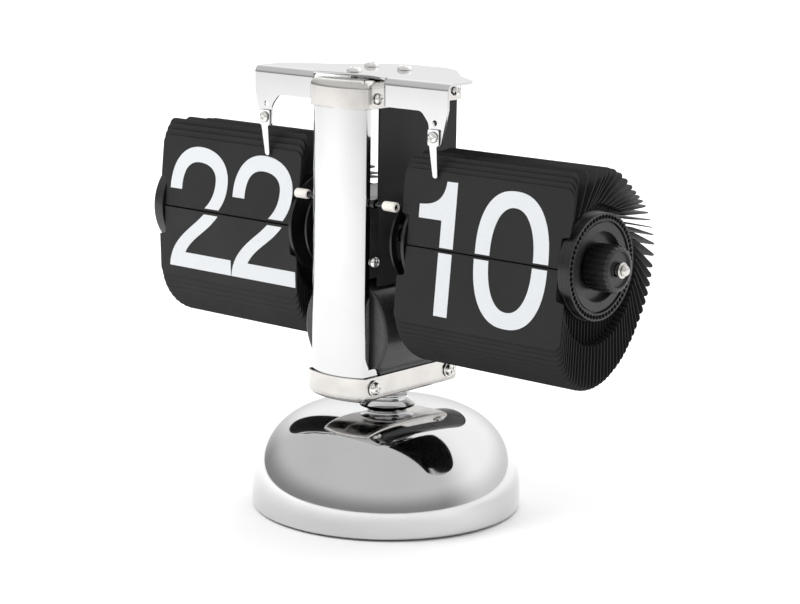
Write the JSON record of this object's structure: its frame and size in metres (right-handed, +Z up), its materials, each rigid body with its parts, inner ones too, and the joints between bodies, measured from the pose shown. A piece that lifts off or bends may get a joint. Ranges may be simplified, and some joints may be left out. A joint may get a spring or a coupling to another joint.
{
  "type": "flip number clock",
  "caption": "Desk flip clock with two drums of number leaves on an open chrome column and domed base; drums, gear train, falling leaves and battery cap move.",
  "frame": {"origin": "centre of the base on the surface that the clock stands on", "axes": "+Z up, +X along the drums towards the minutes, -Y is the side with the numbers"},
  "size_m": [0.2038, 0.092, 0.1504],
  "materials": {
    "chrome": "polished chrome plate",
    "steel": "polished steel with fine marks",
    "screw": "bright plated screw",
    "iron": "rough cast",
    "rubber": "matt",
    "housing_black": "satin moulded",
    "tube_black": "smooth moulded",
    "wheel_black": "satin moulded",
    "leaf": "fine matt",
    "nylon": "natural nylon",
    "brass": "bright",
    "board": "solder mask",
    "cell": "printed sleeve, plain"
  },
  "bodies": {
    "frame": {"base_dome": "chrome", "neck": "chrome", "front_column": "chrome", "arm_plate": "chrome", "hour_clip_finger": "chrome", "minute_clip_finger": "chrome", "lower_bracket": "steel", "upper_bracket": "steel", "base_plate": "steel", "base_bolt": "steel", "motor": "steel", "minute_stop_arm": "steel", "hour_stop_arm": "steel", "upper_bolt_front": "screw", "upper_bolt_rear": "screw", "middle_bolt": "screw", "arm_screw_1": "screw", "arm_screw_2": "screw", "arm_screw_3": "screw", "hour_clip_screw": "screw", "minute_clip_screw": "screw", "lower_screw_front_left": "screw", "lower_screw_front_right": "screw", "lower_screw_rear_left": "screw", "lower_screw_rear_right": "screw", "base_ballast": "iron", "base_foot_ring": "rubber", "movement_case": "housing_black", "movement_cover": "housing_black", "battery_tube": "tube_black", "side_panel": "leaf", "minute_stop_cap": "nylon", "hour_stop_cap": "nylon", "battery_front_contact": "brass", "circuit_board": "board", "battery_cell": "cell", "hour_upper_leaves": "leaf", "hour_back_leaves": "leaf", "hour_lower_leaves": "leaf", "minute_upper_leaves": "leaf", "minute_back_leaves": "leaf", "minute_lower_leaves": "leaf"},
    "minute_drum": {"minute_axle": "steel", "minute_pinion": "brass", "minute_drive_gear": "nylon", "minute_wheel_inner": "wheel_black", "minute_wheel_outer": "wheel_black", "minute_knob": "wheel_black"},
    "hour_drum": {"hour_axle": "steel", "hour_gear": "nylon", "hour_wheel_inner": "wheel_black", "hour_wheel_outer": "wheel_black", "hour_knob": "wheel_black"},
    "counter_wheel": {"counter_gear": "nylon", "counter_pinion": "brass"},
    "motor_rotor": {"motor_pinion": "brass"},
    "minute_falling_leaf": {"minute_falling_leaf": "leaf"},
    "hour_falling_leaf": {"hour_falling_leaf": "leaf"},
    "battery_cap": {"battery_cap": "tube_black", "battery_rear_contact": "brass"}
  },
  "joints": [
    {"name": "minute_drum_spin", "type": "hinge", "parent": "frame", "child": "minute_drum", "pos_m": [0.056, -0.0065, 0.0954], "axis": [1, 0, 0], "continuous": true},
    {"name": "hour_drum_spin", "type": "hinge", "parent": "frame", "child": "hour_drum", "pos_m": [-0.056, -0.0065, 0.0954], "axis": [1, 0, 0], "continuous": true},
    {"name": "counter_wheel_spin", "type": "hinge", "parent": "frame", "child": "counter_wheel", "pos_m": [0, 0.0063, 0.0954], "axis": [1, 0, 0], "continuous": true},
    {"name": "motor_spin", "type": "hinge", "parent": "frame", "child": "motor_rotor", "pos_m": [0.004, -0.0161, 0.0954], "axis": [1, 0, 0], "continuous": true},
    {"name": "minute_leaf_fall", "type": "hinge", "parent": "frame", "child": "minute_falling_leaf", "pos_m": [0.0572, -0.0221, 0.09518], "axis": [-1, 0, 0], "range_deg": [0, 135]},
    {"name": "hour_leaf_fall", "type": "hinge", "parent": "frame", "child": "hour_falling_leaf", "pos_m": [-0.0552, -0.02209, 0.09498], "axis": [-1, 0, 0], "range_deg": [0, 135]},
    {"name": "battery_cap_pull", "type": "slide", "parent": "frame", "child": "battery_cap", "axis": [0, 1, 0], "range_m": [0, 0.03]}
  ],
  "couplings": [
    {"joint": "hour_drum_spin", "follows": "minute_drum_spin", "ratio": 0.041667},
    {"joint": "counter_wheel_spin", "follows": "minute_drum_spin", "ratio": -0.25},
    {"joint": "motor_spin", "follows": "minute_drum_spin", "ratio": -3}
  ]
}
